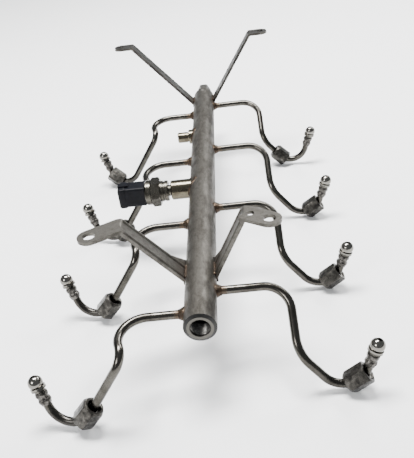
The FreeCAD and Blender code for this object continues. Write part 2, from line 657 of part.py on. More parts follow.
# ------------------------------------------------------------------------- check and write each piece

doc.recompute()
broken = [o.Name for o in doc.Objects if "Invalid" in o.State or "Error" in o.State]
if broken:
    raise RuntimeError("failed objects: %s" % ", ".join(broken))
for label, obj in pieces.items():
    shape = obj.Shape
    if shape.isNull() or not shape.isValid() or len(shape.Solids) != 1:
        raise RuntimeError("%s: null, not valid or not one solid (%d)" % (label, len(shape.Solids)))
for label, obj in pieces.items():
    obj.Shape.exportStep(os.path.join("parts", label + ".step"))
print("%d pieces written" % len(pieces))
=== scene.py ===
"""Looks of a V-eight fuel rail: steels, welds, nuts, sleeves, brackets and the pressure sensor.

Metres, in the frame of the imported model: +Y runs along the rail from its open front port, +X is
the right-hand bank and +Z is the side on which the bracket tabs stand.
"""

import json
import logging
import math
from dataclasses import dataclass, field
from enum import Enum
from itertools import product
from typing import Any, Optional, Sequence, Union

import bpy
from mathutils import Matrix, Vector


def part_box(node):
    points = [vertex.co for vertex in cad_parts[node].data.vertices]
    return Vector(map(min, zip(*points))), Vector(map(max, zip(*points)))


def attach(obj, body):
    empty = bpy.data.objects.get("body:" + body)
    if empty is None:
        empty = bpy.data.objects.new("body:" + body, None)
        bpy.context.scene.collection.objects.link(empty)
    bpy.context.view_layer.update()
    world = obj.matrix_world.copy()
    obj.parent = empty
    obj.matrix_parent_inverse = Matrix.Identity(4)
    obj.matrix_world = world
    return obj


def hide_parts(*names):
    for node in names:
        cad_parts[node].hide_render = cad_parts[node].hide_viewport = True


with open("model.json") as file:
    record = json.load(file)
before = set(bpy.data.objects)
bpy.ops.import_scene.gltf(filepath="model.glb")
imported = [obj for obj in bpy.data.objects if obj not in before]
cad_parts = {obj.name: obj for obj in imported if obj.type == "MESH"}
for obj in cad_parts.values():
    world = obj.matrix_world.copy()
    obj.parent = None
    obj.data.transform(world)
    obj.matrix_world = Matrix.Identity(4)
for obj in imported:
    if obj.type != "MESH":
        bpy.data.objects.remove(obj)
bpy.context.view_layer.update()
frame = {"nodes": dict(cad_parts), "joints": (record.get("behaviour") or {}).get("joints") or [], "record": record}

MM = 0.001
LOG = logging.getLogger("fuel_rail")
Pair = tuple[float, float]
Triple = tuple[float, float, float]
Colour = Triple
EVEN: Triple = (1.0, 1.0, 1.0)

RAIL_RADIUS = 11 * MM
TUBE_RADIUS = 3 * MM
FEED_PITCH = 112 * MM
NUMBERS = range(1, 5)


class Side(Enum):
    """The two banks of cylinders."""

    RIGHT = 1
    LEFT = -1

    @property
    def word(self) -> str:
        """The side as it is written in node names."""
        return self.name.lower()

    @property
    def first_feed(self) -> float:
        """Y of the bank's first feed pipe."""
        return 37.5 * MM if self is Side.RIGHT else 16 * MM


# ------------------------------------------------------------------------------------- shader maths


class Field:
    """A value that varies over a surface, with the arithmetic that builds its nodes."""

    def __init__(self, shader: "Shader", socket: bpy.types.NodeSocket) -> None:
        """Keep the socket and the shader that it belongs to."""
        self.shader, self.socket = shader, socket

    def __add__(self, other: "Number") -> "Field":
        """Sum."""
        return self.shader.math("ADD", self, other)

    __radd__ = __add__

    def __sub__(self, other: "Number") -> "Field":
        """Difference."""
        return self.shader.math("SUBTRACT", self, other)

    def __rsub__(self, other: "Number") -> "Field":
        """Difference from a plain number."""
        return self.shader.math("SUBTRACT", other, self)

    def __mul__(self, other: "Number") -> "Field":
        """Product."""
        return self.shader.math("MULTIPLY", self, other)

    __rmul__ = __mul__

    def wrap(self, pitch: float) -> "Field":
        """Fold into one pitch, centred on zero."""
        return self.shader.math("WRAP", self, pitch / 2, -pitch / 2)

    def root(self) -> "Field":
        """Square root."""
        return self.shader.math("SQRT", self)

    def fade(self, start: float, end: float) -> "Field":
        """Smooth step from 0 at start to 1 at end; start may be the larger.

        Args:
            start: Value at which the result is 0.
            end: Value at which the result is 1.

        Returns:
            The stepped field.
        """
        rising = start < end
        step = self.shader.node("MapRange", {"interpolation_type": "SMOOTHSTEP"}, {
            "Value": self, "From Min": min(start, end), "From Max": max(start, end),
            "To Min": 0.0 if rising else 1.0, "To Max": 1.0 if rising else 0.0})
        return Field(self.shader, step.outputs["Result"])


Number = Union[Field, float]


class Shader:
    """One material under construction around a Principled BSDF."""

    def __init__(self, name: str) -> None:
        """Start an empty node tree with its surface and output.

        Args:
            name: Name of the material.
        """
        self.material = bpy.data.materials.new(name)
        self.material.use_nodes = True
        self.tree = self.material.node_tree
        self.tree.nodes.clear()
        self.surface = self.node("BsdfPrincipled")
        output = self.node("OutputMaterial")
        self.tree.links.new(self.surface.outputs["BSDF"], output.inputs["Surface"])

    def node(self, kind: str, settings: Optional[dict[str, Any]] = None,
             inputs: Optional[dict[Union[str, int], Any]] = None) -> bpy.types.Node:
        """Make any node.

        Args:
            kind: Node type without its ShaderNode prefix.
            settings: Properties, set first; "stops" holds a ramp's positions and colours.
            inputs: Values or fields for its sockets, by name or number.

        Returns:
            The new node.
        """
        made = self.tree.nodes.new("ShaderNode" + kind)
        for key, value in (settings or {}).items():
            if key == "stops":
                for place, (position, colour) in enumerate(value):
                    stops = made.color_ramp.elements
                    stop = stops[place] if place < len(stops) else stops.new(position)
                    stop.position, stop.color = position, (*colour, 1.0)
            else:
                setattr(made, key, value)
        for key, value in (inputs or {}).items():
            if isinstance(value, Field):
                self.tree.links.new(value.socket, made.inputs[key])
            elif isinstance(value, tuple) and made.inputs[key].type == "RGBA":
                made.inputs[key].default_value = (*value[:3], 1.0)
            else:
                made.inputs[key].default_value = value
        return made

    def math(self, operation: str, *values: Number) -> Field:
        """Math node on up to three values.

        Args:
            operation: The Math node's operation.
            values: Numbers or fields, in socket order.

        Returns:
            Its result.
        """
        made = self.node("Math", {"operation": operation}, dict(enumerate(values)))
        return Field(self, made.outputs[0])

    def point(self, stretch: Triple = EVEN) -> Field:
        """Place on the piece, in metres, squeezed along some axes to draw out a pattern.

        Args:
            stretch: Scale of the pattern along X, Y and Z.

        Returns:
            The vector field.
        """
        where = Field(self, self.node("TexCoord").outputs["Object"])
        if stretch == EVEN:
            return where
        mapped = self.node("Mapping", None, {"Vector": where, "Scale": stretch})
        return Field(self, mapped.outputs["Vector"])

    def parts(self) -> tuple[Field, Field, Field]:
        """X, Y and Z of the place on the piece."""
        split = self.node("SeparateXYZ", None, {"Vector": self.point()})
        return tuple(Field(self, split.outputs[axis]) for axis in "XYZ")

    def noise(self, size: float, stretch: Triple = EVEN, detail: float = 4.0,
              rough: float = 0.55) -> Field:
        """Cloudy pattern.

        Args:
            size: Width of its blotches in metres.
            stretch: Scale of the pattern along each axis.
            detail: Number of finer layers.
            rough: Weight of the finer layers.

        Returns:
            Field from 0 to 1 around a half.
        """
        made = self.node("TexNoise", None, {
            "Vector": self.point(stretch), "Scale": 1.0 / size,
            "Detail": detail, "Roughness": rough})
        return Field(self, made.outputs["Fac"])

    def cells(self, size: float) -> Field:
        """Distance to scattered points, for pits of a size in metres."""
        made = self.node("TexVoronoi", None, {"Vector": self.point(), "Scale": 1.0 / size})
        return Field(self, made.outputs["Distance"])

    def blend(self, share: Number, first: Any, second: Any) -> Field:
        """Mix two colours.

        Args:
            share: Weight of the second.
            first: Colour or field.
            second: Colour or field.

        Returns:
            The mixed colour.
        """
        factor, a, b, result = 0, 6, 7, 2
        made = self.node("Mix", {"data_type": "RGBA", "clamp_factor": True},
                         {factor: share, a: first, b: second})
        return Field(self, made.outputs[result])

    def bump(self, height: Field, depth: float) -> Field:
        """Surface normal from a height of a given depth in metres."""
        made = self.node("Bump", None, {"Strength": 1.0, "Distance": depth, "Height": height})
        return Field(self, made.outputs["Normal"])

    def finish(self, **sockets: Any) -> bpy.types.Material:
        """Set the surface's sockets; Base_Color stands for Base Color.

        Args:
            sockets: Values or fields.

        Returns:
            The material.
        """
        for name, value in sockets.items():
            socket = self.surface.inputs[name.replace("_", " ")]
            if isinstance(value, Field):
                self.tree.links.new(value.socket, socket)
            elif isinstance(value, tuple):
                socket.default_value = (*value, 1.0)
            else:
                socket.default_value = value
        return self.material


# ------------------------------------------------------------------------------- marks and finishes


@dataclass(frozen=True)
class Mark:
    """A local change of colour and roughness over a finish."""

    colour: Colour
    gloss: float
    strength: float = 1.0

    def where(self, shader: Shader) -> Field:
        """Share of the mark at each place, 0 to 1."""
        raise NotImplementedError


@dataclass(frozen=True)
class NearRow(Mark):
    """A mark round each of a row of points that repeat along the rail."""

    centre: Vector = field(default_factory=Vector)
    pitch: float = FEED_PITCH
    inner: float = 5 * MM
    outer: float = 7 * MM
    ragged: float = 0.0
    lump: float = 4 * MM

    def where(self, shader: Shader) -> Field:
        """1 nearer than inner to a point of the row, 0 beyond outer."""
        x, y, z = shader.parts()
        dx, dy, dz = x - self.centre.x, (y - self.centre.y).wrap(self.pitch), z - self.centre.z
        far = (dx * dx + dy * dy + dz * dz).root()
        if self.ragged:
            far = far + (shader.noise(self.lump) - 0.5) * self.ragged
        return far.fade(self.outer, self.inner) * self.strength


@dataclass(frozen=True)
class Slab(Mark):
    """A mark between two levels along one axis, with soft, ragged ends."""

    axis: int = 1
    low: float = -1.0
    high: float = 1.0
    soft: float = 1 * MM
    ragged: float = 0.0
    lump: float = 9 * MM

    def where(self, shader: Shader) -> Field:
        """1 between low and high."""
        level = shader.parts()[self.axis]
        if self.ragged:
            level = level + (shader.noise(self.lump) - 0.5) * self.ragged
        above = level.fade(self.low - self.soft, self.low)
        return above * level.fade(self.high + self.soft, self.high) * self.strength


@dataclass(frozen=True)
class Ring(Slab):
    """A slab across the rail's axis, kept between two radii."""

    inner: float = 0.0
    outer: float = 1.0
    edge: float = 0.15 * MM

    def where(self, shader: Shader) -> Field:
        """1 inside the ring."""
        x, _, z = shader.parts()
        radius = (x * x + z * z).root()
        beyond = radius.fade(self.inner - self.edge, self.inner)
        within = beyond * radius.fade(self.outer + self.edge, self.outer)
        return within * super().where(shader)


@dataclass(frozen=True)
class Steel:
    """Worn steel: two tones in patches, fine grain, drawn-out rubbing and small pits."""

    name: str
    light: Colour
    dark: Colour
    gloss: Pair
    patch: float = 9 * MM
    contrast: float = 1.0
    stretch: Colour = (1.0, 1.0, 1.0)
    grain: float = 0.6 * MM
    pit: float = 0.0
    depth: float = 0.05 * MM
    metal: float = 1.0
    marks: tuple[Mark, ...] = ()
    edge: float = 0.22
    patch_weight: float = 0.75
    grain_step: Pair = (0.35, 0.65)
    grain_gloss: float = 0.12
    pit_rim: Pair = (0.32, 0.05)
    pit_places: Pair = (0.45, 0.6)
    pit_shade: float = 0.7
    pit_tone: float = 0.35
    pit_deep: float = 0.8

    def make(self) -> bpy.types.Material:
        """Build the material.

        Returns:
            The material.
        """
        shader = Shader(self.name)
        blotch = shader.noise(self.patch, self.stretch, detail=6.0, rough=0.6)
        share = blotch.fade(0.5 - self.edge / self.contrast, 0.5 + self.edge / self.contrast)
        speck = shader.noise(self.grain, self.stretch, detail=2.0)
        tone = share * self.patch_weight + speck.fade(*self.grain_step) * (1 - self.patch_weight)
        colour = shader.blend(tone, self.dark, self.light)
        low, high = self.gloss
        rough = high - share * (high - low) + (speck - 0.5) * self.grain_gloss
        height = speck * 0.5 + blotch * 0.5
        if self.pit:
            pits = shader.cells(self.pit).fade(*self.pit_rim) * blotch.fade(*self.pit_places)
            bottom = tuple(self.pit_tone * c for c in self.dark)
            colour = shader.blend(pits * self.pit_shade, colour, bottom)
            height = height - pits * self.pit_deep
        for mark in self.marks:
            here = mark.where(shader)
            colour = shader.blend(here, colour, mark.colour)
            rough = rough * (1.0 - here) + here * mark.gloss
        return shader.finish(Base_Color=colour, Roughness=rough, Metallic=self.metal,
                             Normal=shader.bump(height, self.depth))


@dataclass(frozen=True)
class Moulded:
    """Plastic, rubber or laminate: satin, with a fine moulded grain and faint cloudiness."""

    name: str
    colour: Colour
    worn: Colour
    gloss: float
    shine: float = 0.12
    grain: float = 0.35 * MM
    depth: float = 0.02 * MM
    cloud: float = 5 * MM
    wear: Pair = (0.4, 0.75)
    grain_gloss: float = 0.2

    def make(self) -> bpy.types.Material:
        """Build the material.

        Returns:
            The material.
        """
        shader = Shader(self.name)
        cloud, speck = shader.noise(self.cloud), shader.noise(self.grain, detail=2.0)
        return shader.finish(
            Base_Color=shader.blend(cloud.fade(*self.wear), self.colour, self.worn),
            Roughness=self.gloss + (speck - 0.5) * self.grain_gloss, Metallic=0.0,
            Specular_IOR_Level=self.shine, Normal=shader.bump(speck, self.depth))


# ------------------------------------------------------------------------------ the modelling bench


class Bench:
    """The few moves with which every new piece is modelled."""

    merge_gap = 1e-7

    @staticmethod
    def clear() -> None:
        """Leave edit mode and deselect everything."""
        if bpy.context.object and bpy.context.object.mode != "OBJECT":
            bpy.ops.object.mode_set(mode="OBJECT")
        bpy.ops.object.select_all(action="DESELECT")

    @staticmethod
    def take(piece: bpy.types.Object) -> bpy.types.Object:
        """Make one piece the only selected and active one.

        Args:
            piece: The piece.

        Returns:
            The same piece.
        """
        Bench.clear()
        piece.select_set(True)
        bpy.context.view_layer.objects.active = piece
        return piece

    @staticmethod
    def named(name: str) -> bpy.types.Object:
        """Name the piece that a primitive has just added.

        Args:
            name: Its name and its mesh's name.

        Returns:
            The piece.
        """
        piece = bpy.context.object
        piece.name = piece.data.name = name
        return piece

    @staticmethod
    def cylinder(name: str, radius: float, low: float, high: float,
                 sides: int) -> bpy.types.Object:
        """A rod about Z.

        Args:
            name: Name of the piece.
            radius: Its radius.
            low: Z of its lower end.
            high: Z of its upper end.
            sides: Number of sides.

        Returns:
            The rod.
        """
        Bench.clear()
        bpy.ops.mesh.primitive_cylinder_add(vertices=sides, radius=radius, depth=high - low,
                                            location=(0, 0, (low + high) / 2))
        return Bench.settle(Bench.named(name))

    @staticmethod
    def turned(name: str, outline: Sequence[Pair], sides: int) -> bpy.types.Object:
        """A closed ring about Z, drawn up from a circle by extruding and sizing its edge.

        Args:
            name: Name of the piece.
            outline: (radius, height) corners of its section, in order; none on the axis.
            sides: Number of sides.

        Returns:
            The ring, with its normals outwards.
        """
        Bench.clear()
        first_radius, first_height = outline[0]
        bpy.ops.mesh.primitive_circle_add(vertices=sides, radius=first_radius,
                                          location=(0, 0, first_height))
        ring = Bench.settle(Bench.named(name))
        bpy.ops.object.mode_set(mode="EDIT")
        bpy.ops.mesh.select_mode(type="EDGE")
        bpy.ops.mesh.select_all(action="SELECT")
        for (radius, height), (wider, higher) in zip(outline, outline[1:]):
            rise = {"value": (0, 0, higher - height)}
            bpy.ops.mesh.extrude_edges_move(TRANSFORM_OT_translate=rise)
            share = wider / radius
            bpy.ops.transform.resize(value=(share, share, 1), center_override=(0, 0, higher))
        Bench.leave()
        last = len(ring.data.vertices) - sides
        for vertex in ring.data.vertices:
            vertex.select = vertex.index < sides or vertex.index >= last
        for edge in ring.data.edges:
            a, b = edge.vertices
            edge.select = (a < sides and b < sides) or (a >= last and b >= last)
        bpy.ops.object.mode_set(mode="EDIT")
        bpy.ops.mesh.bridge_edge_loops()
        bpy.ops.mesh.select_all(action="SELECT")
        bpy.ops.mesh.remove_doubles(threshold=Bench.merge_gap)
        bpy.ops.mesh.normals_make_consistent(inside=False)
        Bench.leave()
        return ring

    @staticmethod
    def leave() -> None:
        """Go back to object mode."""
        bpy.ops.object.mode_set(mode="OBJECT")

    @staticmethod
    def settle(piece: bpy.types.Object, matrix: Optional[Matrix] = None) -> bpy.types.Object:
        """Put a piece in its place and move that place into its mesh.

        Args:
            piece: The piece.
            matrix: Where its own frame goes; its present place if left out.

        Returns:
            The piece, its object at the origin.
        """
        Bench.take(piece)
        if matrix is not None:
            piece.matrix_world = matrix @ piece.matrix_world
        bpy.ops.object.transform_apply(location=True, rotation=True, scale=True)
        return piece

    @staticmethod
    def modify(piece: bpy.types.Object, kind: str, **settings: Any) -> bpy.types.Object:
        """Add a modifier, set it and apply it.

        Args:
            piece: The piece.
            kind: Type of the modifier.
            settings: Its properties.

        Returns:
            The piece.
        """
        Bench.take(piece)
        modifier = piece.modifiers.new(kind.title(), kind)
        for key, value in settings.items():
            setattr(modifier, key, value)
        bpy.ops.object.modifier_apply(modifier=modifier.name)
        return piece

    @staticmethod
    def carve(piece: bpy.types.Object, tool: bpy.types.Object, operation: str) -> bpy.types.Object:
        """Boolean with a tool that is then thrown away.

        Args:
            piece: The piece.
            tool: The cutting piece.
            operation: INTERSECT, DIFFERENCE or UNION.

        Returns:
            The piece.
        """
        Bench.modify(piece, "BOOLEAN", object=tool, operation=operation, solver="EXACT")
        bpy.data.objects.remove(tool)
        return piece

    @staticmethod
    def roughen(piece: bpy.types.Object, size: float, depth: float,
                seed: float) -> bpy.types.Object:
        """Lump a surface with cloud noise.

        Args:
            piece: The piece.
            size: Width of the lumps.
            depth: Their height.
            seed: Shifts the pattern, so that repeated pieces differ.

        Returns:
            The piece.
        """
        clouds = bpy.data.textures.new(piece.name + "_lumps", "CLOUDS")
        clouds.noise_scale, clouds.noise_depth = size, 2
        sideways = 0.7
        shift = Matrix.Translation((seed, sideways * seed, 0))
        piece.data.transform(shift)
        Bench.modify(piece, "DISPLACE", texture=clouds, strength=depth, mid_level=0.5,
                     texture_coords="LOCAL")
        piece.data.transform(shift.inverted())
        return piece

    @staticmethod
    def soften(piece: bpy.types.Object, width: float, steps: int = 2,
               degrees: float = 28) -> bpy.types.Object:
        """Round the edges that are sharper than an angle."""
        return Bench.modify(piece, "BEVEL", width=width, segments=steps, limit_method="ANGLE",
                            angle_limit=math.radians(degrees), use_clamp_overlap=True)

    @staticmethod
    def smooth(piece: bpy.types.Object, degrees: float = 35) -> bpy.types.Object:
        """Shade smooth below an angle.

        Args:
            piece: The piece.
            degrees: The angle.

        Returns:
            The piece.
        """
        Bench.take(piece)
        bpy.ops.object.shade_smooth_by_angle(angle=math.radians(degrees))
        return piece

    @staticmethod
    def copy(piece: bpy.types.Object, name: str) -> bpy.types.Object:
        """Copy a piece with its own mesh.

        Args:
            piece: The pattern.
            name: Name of the copy.

        Returns:
            The copy.
        """
        made = piece.copy()
        made.data = piece.data.copy()
        made.name = made.data.name = name
        bpy.context.scene.collection.objects.link(made)
        return made

    @staticmethod
    def hand_in(piece: bpy.types.Object, body: str, material: bpy.types.Material, slot: str,
                stands_for: Sequence[str] = ()) -> bpy.types.Object:
        """Dress a finished piece and tie it to its body.

        Args:
            piece: The piece, in place.
            body: CAD body that carries it.
            material: Its material.
            slot: The record's material slot; not used.
            stands_for: CAD nodes that it replaces.

        Returns:
            The piece.
        """
        piece.data.materials.clear()
        piece.data.materials.append(material)
        if stands_for:
            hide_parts(*stands_for)
        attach(piece, body)
        LOG.info("piece %s on %s, %d faces", piece.name, body, len(piece.data.polygons))
        return piece


def along(point: Vector, direction: Vector) -> Matrix:
    """Frame that stands local Z along a direction, with local X level.

    Args:
        point: Its origin.
        direction: Where its Z goes.

    Returns:
        The frame.
    """
    nearly_upright = 0.95
    z_axis = direction.normalized()
    up = Vector((0, 0, 1)) if abs(z_axis.z) < nearly_upright else Vector((0, 1, 0))
    x_axis = up.cross(z_axis).normalized()
    turn = Matrix((x_axis, z_axis.cross(x_axis), z_axis)).transposed().to_4x4()
    return Matrix.Translation(point) @ turn


def sag(across: float) -> float:
    """How far the rail's round top lies lower at a distance across it."""
    return RAIL_RADIUS - math.sqrt(RAIL_RADIUS ** 2 - across ** 2)


def dress(nodes: Sequence[str], material: bpy.types.Material) -> None:
    """Give carried CAD nodes a material.

    Args:
        nodes: Names of the nodes.
        material: The material.
    """
    for name in nodes:
        slots = frame["nodes"][name].data.materials
        slots.clear()
        slots.append(material)
        LOG.info("dressed %s with %s", name, material.name)


MOUNTS = {mount["name"]: mount for mount in frame["record"]["mounts"]}
FEEDS = [(side, number) for side in Side for number in NUMBERS]

# ----------------------------------------------------------------------------------------- the rail


@dataclass
class Rail:
    """The thick tube, its rear plug, port thread and the welds on it."""

    port: float = 6.5 * MM
    thread_start: float = 1.2 * MM
    thread_pitch: float = 1.25 * MM
    thread_deep: float = 0.4 * MM
    turns: int = 9
    land: Pair = (6.9 * MM, 8.75 * MM)
    stamp_from_front: float = 396 * MM
    stamp_radius: float = 2.1 * MM
    stamp_thick: float = 0.45 * MM

    def dress(self) -> None:
        """Finish the tube and the rear plug."""
        heat = (0.05, 0.034, 0.021)
        rows = tuple(
            NearRow(colour=heat, gloss=0.62, strength=0.8, inner=5 * MM, outer=11 * MM,
                    ragged=6 * MM,
                    centre=Vector((side.value * RAIL_RADIUS, side.first_feed, 0)))
            for side in Side)
        marks = rows + (
            Ring(colour=(0.02, 0.02, 0.02), gloss=0.35, high=1.0 * MM, soft=0.4 * MM,
                 inner=self.land[1], outer=20 * MM, strength=0.9),
            Ring(colour=(0.075, 0.071, 0.062), gloss=0.36, high=0.3 * MM, soft=0.2 * MM,
                 inner=self.land[0], outer=self.land[1]),
            Ring(colour=(0.035, 0.033, 0.03), gloss=0.4, low=0.2 * MM, high=60 * MM,
                 soft=0.3 * MM, outer=self.port + 0.2 * MM))
        patina = Steel("rail_patina", light=(0.09, 0.084, 0.073), dark=(0.026, 0.023, 0.019),
                       gloss=(0.42, 0.6), patch=11 * MM, contrast=1.3, stretch=(1.6, 0.6, 1.6),
                       grain=1.1 * MM, depth=0.12 * MM, metal=0.85, marks=marks)
        dress(["rail_tube"], patina.make())
        plug = Steel("plug_patina", light=(0.12, 0.114, 0.104), dark=(0.045, 0.042, 0.038),
                     gloss=(0.4, 0.6), patch=7 * MM, pit=1.6 * MM, depth=0.12 * MM, metal=0.9)
        dress(["rail_rear_plug"], plug.make())

    def thread(self) -> None:
        """Cut the port's thread as a real helix."""
        steel = Steel("port_thread_steel", light=(0.16, 0.155, 0.145), dark=(0.05, 0.048, 0.045),
                      gloss=(0.3, 0.45), patch=2 * MM).make()
        ridge = helix("port_thread", self.port, self.thread_pitch, self.thread_deep, self.turns)
        Bench.settle(ridge, along(Vector((0, self.thread_start, 0)), Vector((0, 1, 0))))
        Bench.hand_in(ridge, "rail", steel, "rail_steel")

    def stamp(self) -> None:
        """Raise the small round witness mark near the rear end."""
        steel = Steel("stamp_steel", light=(0.2, 0.19, 0.175), dark=(0.07, 0.065, 0.06),
                      gloss=(0.4, 0.55), patch=2 * MM).make()
        Bench.clear()
        bpy.ops.mesh.primitive_torus_add(
            major_radius=self.stamp_radius, minor_radius=self.stamp_thick,
            major_segments=40, minor_segments=12)
        mark = Bench.settle(Bench.named("rail_stamp"))
        for vertex in mark.data.vertices:
            vertex.co.z -= sag(vertex.co.x)
        Bench.settle(mark, Matrix.Translation((0, self.stamp_from_front, RAIL_RADIUS)))
        Bench.hand_in(Bench.smooth(mark), "rail", steel, "rail_steel")


def helix(name: str, wall: float, pitch: float, deep: float, turns: int) -> bpy.types.Object:
    """An internal thread's ridge, standing inwards from a round wall.

    Args:
        name: Name of the piece.
        wall: Radius of the wall.
        pitch: Rise per turn.
        deep: Height of the ridge.
        turns: Number of turns.

    Returns:
        The ridge, from z = 0 upwards.
    """
    root, half = wall + 0.1 * MM, 0.42 * pitch
    Bench.clear()
    bpy.ops.mesh.primitive_circle_add(vertices=3, radius=pitch, fill_type="NOTHING")
    ridge = Bench.settle(Bench.named(name))
    section = ((wall - deep, 0), (root, -half), (root, half))
    for vertex, (radius, height) in zip(ridge.data.vertices, section):
        vertex.co = (radius, 0, height)
    Bench.modify(ridge, "SCREW", angle=2 * math.pi, screw_offset=pitch, iterations=turns, steps=40,
                 render_steps=40, axis="Z", use_merge_vertices=False)
    bpy.ops.object.mode_set(mode="EDIT")
    bpy.ops.mesh.select_all(action="DESELECT")
    bpy.ops.mesh.select_mode(type="EDGE")
    bpy.ops.mesh.select_non_manifold()
    bpy.ops.mesh.fill_holes(sides=4)
    bpy.ops.mesh.select_all(action="SELECT")
    bpy.ops.mesh.normals_make_consistent(inside=False)
    Bench.leave()
    return Bench.smooth(ridge, 40)


# ---------------------------------------------------------------------------------------- the welds


@dataclass
class Welds:
    """Runs of weld metal at the pipes, the two bosses and the feet of the strips."""

    foot: float = TUBE_RADIUS + 1.9 * MM
    skin: float = TUBE_RADIUS - 0.1 * MM
    bosses: tuple[tuple[str, float, float], ...] = (
        ("weld_inlet", 7.0 * MM, 0.11), ("weld_sensor_boss", 8.5 * MM, 0.23))
    boss_offset: float = 0.35 * MM
    boss_thick: float = 1.5 * MM
    strip_thick: float = 1.15 * MM
    steepest: float = 0.96 * RAIL_RADIUS
    metal: Optional[bpy.types.Material] = None

    def finish(self) -> bpy.types.Material:
        """Rough, heat-browned weld metal."""
        if self.metal is None:
            self.metal = Steel(
                "weld_bronze", light=(0.07, 0.046, 0.029), dark=(0.007, 0.006, 0.005),
                gloss=(0.3, 0.55), patch=2.6 * MM, contrast=1.2, grain=0.5 * MM,
                depth=0.15 * MM, metal=0.85).make()
        return self.metal

    def saddle(self, bead: bpy.types.Object) -> None:
        """Drop a bead's rim to follow the round rail; its local Y lies across the rail.

        Args:
            bead: The bead, still about its own Z axis.
        """
        for vertex in bead.data.vertices:
            vertex.co.z -= sag(min(abs(vertex.co.y), self.steepest))

    def pipe_beads(self) -> None:
        """Lay the bead at the root of each feed pipe, its foot following the round rail."""
        slope = ((0.5, -1.0), (0.0, -0.2), (0.1, 0.5), (0.6, 1.2), (1.0, 1.9), (1.3, 2.6),
                 (1.6, 3.3))
        bottom, top = -1 * MM, 3.6 * MM
        level_above, blend_over = 2.4 * MM, 3.4 * MM
        outline = [(self.skin, RAIL_RADIUS + bottom)]
        outline += [(self.foot - inset * MM, RAIL_RADIUS + rise * MM) for inset, rise in slope]
        outline += [(self.skin, RAIL_RADIUS + top)]
        pattern = Bench.turned("bead_pattern", outline, sides=40)
        for vertex in pattern.data.vertices:
            sink = (RAIL_RADIUS + level_above - vertex.co.z) / blend_over
            if sink > 0:
                vertex.co.z -= sag(vertex.co.y) * min(sink, 1.0)
        Bench.modify(pattern, "SUBSURF", levels=1, render_levels=1)
        for place, (side, number) in enumerate(FEEDS):
            node = "weld_pipe_%s_%d" % (side.word, number)
            low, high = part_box(node)
            middle = (low + high) / 2
            bead = Bench.copy(pattern, "bead_pipe_%s_%d" % (side.word, number))
            Bench.roughen(bead, 1.7 * MM, 0.7 * MM, seed=0.02 * (place + 1))
            Bench.settle(bead, along(Vector((0, middle.y, 0)), Vector((side.value, 0, 0))))
            Bench.hand_in(Bench.smooth(bead, 60), "rail", self.finish(), "weld_metal", [node])
        bpy.data.objects.remove(pattern)

    def boss_beads(self) -> None:
        """Lay the bead round the sensor's boss and the inlet stub."""
        for node, inner, seed in self.bosses:
            low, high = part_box(node)
            middle = (low + high) / 2
            Bench.clear()
            bpy.ops.mesh.primitive_torus_add(
                major_radius=inner + self.boss_offset, minor_radius=self.boss_thick,
                major_segments=80, minor_segments=12)
            bead = Bench.settle(Bench.named(node.replace("weld", "bead")))
            self.saddle(bead)
            Bench.roughen(bead, 2 * MM, 0.8 * MM, seed)
            outwards = along(Vector((0, middle.y, 0)), Vector((-1, 0, 0)))
            Bench.settle(bead, outwards @ Matrix.Translation((0, 0, RAIL_RADIUS)))
            Bench.hand_in(Bench.smooth(bead, 60), "rail", self.finish(), "weld_metal", [node])

    def strip_bead(self, name: str, centre: Vector, length: float, seed: float) -> None:
        """Lay a short run along the rail beside a strip's foot.

        Args:
            name: Name of the piece.
            centre: Middle of the run.
            length: Its length along the rail.
            seed: Shifts its lumps.
        """
        thick = self.strip_thick
        bead = Bench.cylinder(name, thick, -length / 2, length / 2, sides=14)
        bpy.ops.object.mode_set(mode="EDIT")
        bpy.ops.mesh.select_all(action="SELECT")
        bpy.ops.mesh.bevel(offset=thick * 0.8, segments=3, affect="EDGES")
        Bench.leave()
        Bench.modify(bead, "REMESH", mode="VOXEL", voxel_size=0.45 * MM)
        Bench.roughen(bead, 1.8 * MM, 0.8 * MM, seed)
        Bench.settle(bead, along(centre, Vector((0, 1, 0))))
        Bench.hand_in(Bench.smooth(bead, 60), "rail", self.finish(), "weld_metal")


# --------------------------------------------------------------------- feed pipes, sleeves and nuts


